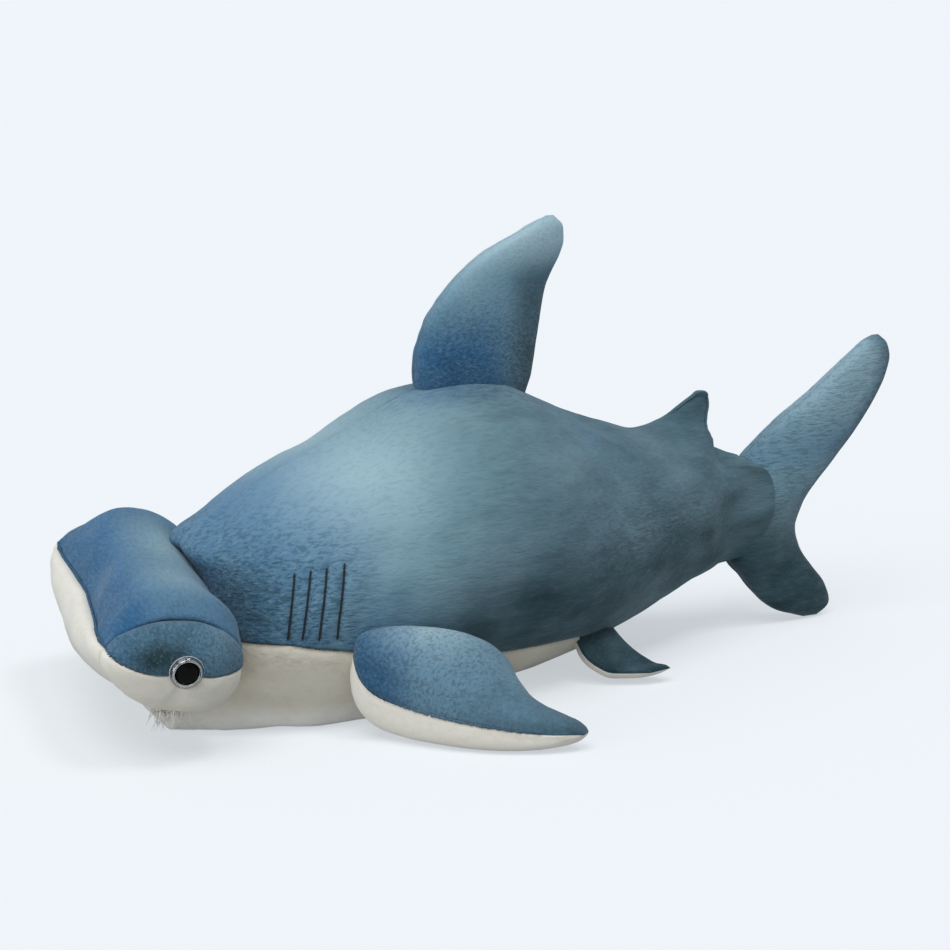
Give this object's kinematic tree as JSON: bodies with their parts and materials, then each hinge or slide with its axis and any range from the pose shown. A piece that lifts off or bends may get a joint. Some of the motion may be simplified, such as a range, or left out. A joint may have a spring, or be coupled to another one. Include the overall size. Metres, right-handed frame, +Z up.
{
  "type": "plush shark",
  "caption": "Stuffed plush hammerhead shark lying on its belly, with a blue back, a cream belly, padded fins and clear domed safety eyes.",
  "frame": {"origin": "on the floor under the middle of the whole shark", "axes": "+Z up, the head points along -Y, and the shark's left side is +X"},
  "size_m": [0.3906, 0.6611, 0.325],
  "materials": {
    "plush_blue": "short brushed plush, soft sheen",
    "plush_cream": "short brushed plush, soft sheen",
    "filling": "loose polyester fibre",
    "thread": "twisted embroidery thread",
    "eye_clear": "clear polished acrylic",
    "eye_black": "polished",
    "washer": "moulded"
  },
  "bodies": {
    "body": {"body_panel_left": "plush_blue", "body_panel_right": "plush_blue", "belly_panel": "plush_cream", "body_stuffing": "filling", "gill_stitch_left_1": "thread", "gill_stitch_left_2": "thread", "gill_stitch_left_3": "thread", "gill_stitch_left_4": "thread", "gill_stitch_right_1": "thread", "gill_stitch_right_2": "thread", "gill_stitch_right_3": "thread", "gill_stitch_right_4": "thread"},
    "head": {"head_top_panel": "plush_blue", "head_under_panel": "plush_cream", "head_stuffing": "filling", "head_end_upper_left": "plush_blue", "head_end_upper_right": "plush_blue", "head_end_lower_left": "plush_cream", "head_end_lower_right": "plush_cream", "eye_dome_left": "eye_clear", "eye_dome_right": "eye_clear", "eye_pupil_left": "eye_black", "eye_pupil_right": "eye_black", "eye_washer_left": "washer", "eye_washer_right": "washer"},
    "dorsal_fin": {"dorsal_fin_panel_left": "plush_blue", "dorsal_fin_panel_right": "plush_blue", "dorsal_fin_stuffing": "filling"},
    "tail_fin": {"tail_fin_panel_left": "plush_blue", "tail_fin_panel_right": "plush_blue", "tail_fin_stuffing": "filling"},
    "pectoral_fin_left": {"pectoral_fin_top_left": "plush_blue", "pectoral_fin_under_left": "plush_cream", "pectoral_fin_stuffing_left": "filling"},
    "pelvic_fin_left": {"pelvic_fin_top_left": "plush_blue", "pelvic_fin_under_left": "plush_cream"},
    "pectoral_fin_right": {"pectoral_fin_top_right": "plush_blue", "pectoral_fin_under_right": "plush_cream", "pectoral_fin_stuffing_right": "filling"},
    "pelvic_fin_right": {"pelvic_fin_top_right": "plush_blue", "pelvic_fin_under_right": "plush_cream"}
  },
  "joints": [
    {"name": "head_turn", "type": "hinge", "parent": "body", "child": "head", "pos_m": [0, -0.2323, 0.09], "axis": [0, 0, 1], "range_deg": [-3, 15], "stiffness_Nm_per_rad": 0.6},
    {"name": "dorsal_lean", "type": "hinge", "parent": "body", "child": "dorsal_fin", "pos_m": [0, -0.0203, 0.216], "axis": [0, -0.9881, 0.154], "range_deg": [-25, 25], "stiffness_Nm_per_rad": 0.25},
    {"name": "tail_swing", "type": "hinge", "parent": "body", "child": "tail_fin", "pos_m": [0, 0.2097, 0.095], "axis": [0, 0, 1], "range_deg": [-20, 20], "stiffness_Nm_per_rad": 0.35},
    {"name": "pectoral_flap_left", "type": "hinge", "parent": "body", "child": "pectoral_fin_left", "pos_m": [0.103, -0.0933, 0.068], "axis": [0, -1, 0], "range_deg": [-12, 35], "stiffness_Nm_per_rad": 0.5},
    {"name": "pectoral_flap_right", "type": "hinge", "parent": "body", "child": "pectoral_fin_right", "pos_m": [-0.103, -0.0933, 0.068], "axis": [0, 1, 0], "range_deg": [-12, 35], "stiffness_Nm_per_rad": 0.5},
    {"name": "pelvic_flap_left", "type": "hinge", "parent": "body", "child": "pelvic_fin_left", "pos_m": [0.061, 0.0517, 0.026], "axis": [0, -1, 0], "range_deg": [-20, 30], "stiffness_Nm_per_rad": 0.05},
    {"name": "pelvic_flap_right", "type": "hinge", "parent": "body", "child": "pelvic_fin_right", "pos_m": [-0.061, 0.0517, 0.026], "axis": [0, 1, 0], "range_deg": [-20, 30], "stiffness_Nm_per_rad": 0.05}
  ]
}
